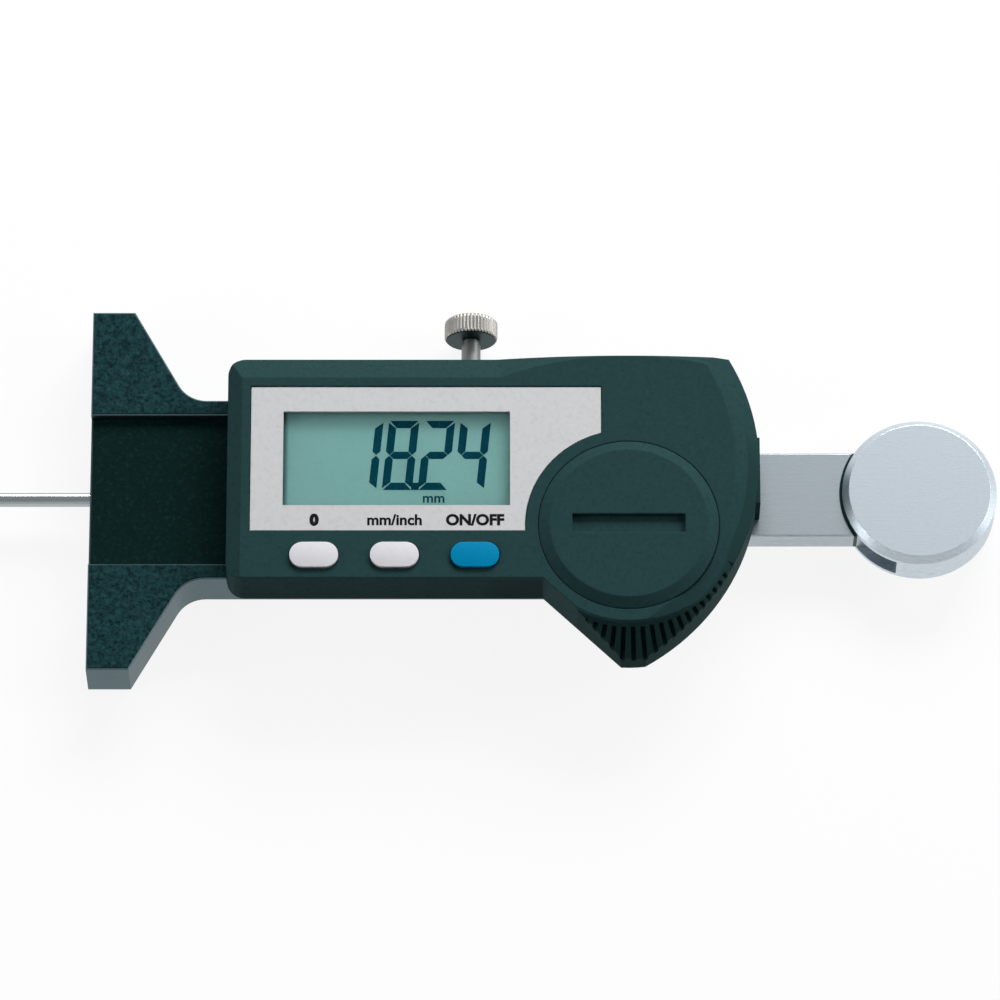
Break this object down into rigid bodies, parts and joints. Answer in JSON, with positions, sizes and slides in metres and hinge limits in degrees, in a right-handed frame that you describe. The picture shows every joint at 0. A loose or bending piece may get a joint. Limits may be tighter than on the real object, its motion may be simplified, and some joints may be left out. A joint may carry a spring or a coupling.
{
  "type": "depth gauge",
  "caption": "Electronic depth gauge: T-shaped steel bridge, sliding beam with a round measuring pin and end disc, and a plastic display housing with buttons and a coin-slot battery cover.",
  "frame": {"origin": "where the axis of the measuring pin crosses the measuring face of the bridge", "axes": "-X is the way the pin points, +Y is the upper edge of the display, +Z is out of the display; Z = 0 is the middle of the beam's thickness"},
  "size_m": [0.1592, 0.0602, 0.0164],
  "materials": {
    "black_steel": "fine satin black coating",
    "cover_plate": "grained black coating",
    "steel": "brushed along the beam",
    "hard_pin": "ground and polished",
    "screw_steel": "knurled and turned",
    "small_screws": "turned",
    "brass": "milled",
    "housing_plastic": "fine spark-eroded grain",
    "silver_plate": "matt silver film",
    "window": "clear",
    "lcd": "green-grey reflective display",
    "board": "solder mask",
    "rubber": "moulded",
    "button_white": "moulded",
    "button_blue": "moulded",
    "cell_steel": "drawn",
    "scale_foil": "etched"
  },
  "bodies": {
    "gauge": {"frame": "black_steel", "slot_cover": "cover_plate", "back_plate": "small_screws", "housing": "housing_plastic", "faceplate": "silver_plate", "display_window": "window", "lcd_module": "lcd", "contact_strips": "rubber", "circuit_board": "board", "read_head": "board", "keypad": "rubber", "battery": "cell_steel", "contact_plus": "brass", "contact_minus": "brass", "battery_seal": "rubber", "gib": "brass", "gib_screws": "small_screws", "stop_screw": "small_screws", "housing_screws": "small_screws"},
    "slider": {"beam": "steel", "scale": "scale_foil", "measuring_pin": "hard_pin", "end_disc": "steel", "disc_screws": "small_screws"},
    "left_button": {"button_left": "button_white"},
    "middle_button": {"button_middle": "button_white"},
    "right_button": {"button_right": "button_blue"},
    "locking_screw": {"lock_screw": "screw_steel"},
    "cell_cover": {"battery_cover": "housing_plastic"}
  },
  "joints": [
    {"name": "beam_slide", "type": "slide", "parent": "gauge", "child": "slider", "axis": [-1, 0, 0], "range_m": [-0.01824, 0.01176]},
    {"name": "left_press", "type": "slide", "parent": "gauge", "child": "left_button", "axis": [0, 0, -1], "range_m": [0, 0.0004], "stiffness_N_per_m": 800, "springref_m": -0.0003},
    {"name": "middle_press", "type": "slide", "parent": "gauge", "child": "middle_button", "axis": [0, 0, -1], "range_m": [0, 0.0004], "stiffness_N_per_m": 800, "springref_m": -0.0003},
    {"name": "right_press", "type": "slide", "parent": "gauge", "child": "right_button", "axis": [0, 0, -1], "range_m": [0, 0.0004], "stiffness_N_per_m": 800, "springref_m": -0.0003},
    {"name": "lock_turn", "type": "hinge", "parent": "gauge", "child": "locking_screw", "pos_m": [0.0592, 0.027, 0], "axis": [0, 1, 0], "range_deg": [-180, 180]},
    {"name": "cover_turn", "type": "hinge", "parent": "gauge", "child": "cell_cover", "pos_m": [0.0836, -0.0087, 0.0102], "axis": [0, 0, 1], "range_deg": [0, 60]}
  ]
}
